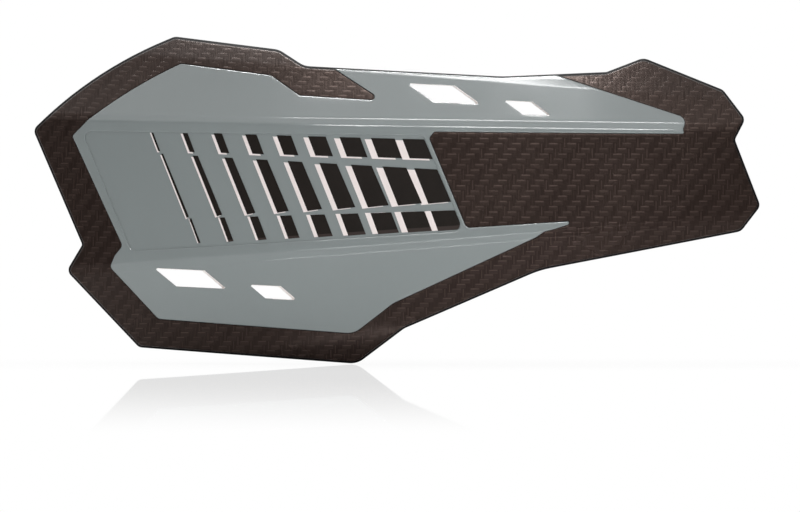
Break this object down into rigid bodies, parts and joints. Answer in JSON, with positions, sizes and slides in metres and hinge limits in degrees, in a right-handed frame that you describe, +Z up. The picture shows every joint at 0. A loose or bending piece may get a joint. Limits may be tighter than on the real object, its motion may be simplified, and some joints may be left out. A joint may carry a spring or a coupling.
{
  "type": "motorcycle hand guard",
  "caption": "Bowed moulded hand guard with a folded face, slanted vents, a stripe field and a rear bracket that clamps to the handlebar.",
  "frame": {"origin": "centre of the bar clamp, on the axis of the handlebar", "axes": "+X along the handlebar towards the middle of the motorcycle, +Y back towards the rider, +Z up"},
  "size_m": [0.2827, 0.1119, 0.1271],
  "materials": {
    "shield_weave": "satin plastic with a printed twill weave",
    "cover_grey": "smooth semi-gloss blue-grey plastic",
    "stripe_black": "smooth printed film",
    "stripe_white": "smooth printed film",
    "insert_brass": "turned",
    "arm_black": "fine grained glass-filled plastic",
    "fastener_steel": "zinc plated",
    "washer_steel": "zinc plated",
    "clamp_alloy": "bead blasted and dark anodised"
  },
  "bodies": {
    "root": {"base_shell": "shield_weave", "cover_panel": "cover_grey", "stripe_field_black": "stripe_black", "stripe_field_white": "stripe_white", "threaded_inserts": "insert_brass", "bracket_arm": "arm_black", "shield_screws": "fastener_steel", "shield_washers": "washer_steel", "eye_sleeve": "washer_steel", "arm_bolt": "fastener_steel", "arm_washers": "washer_steel", "arm_nut": "fastener_steel", "clamp_body": "clamp_alloy", "clamp_cap": "clamp_alloy", "clamp_screws": "fastener_steel", "clamp_washers": "washer_steel"}
  },
  "joints": []
}
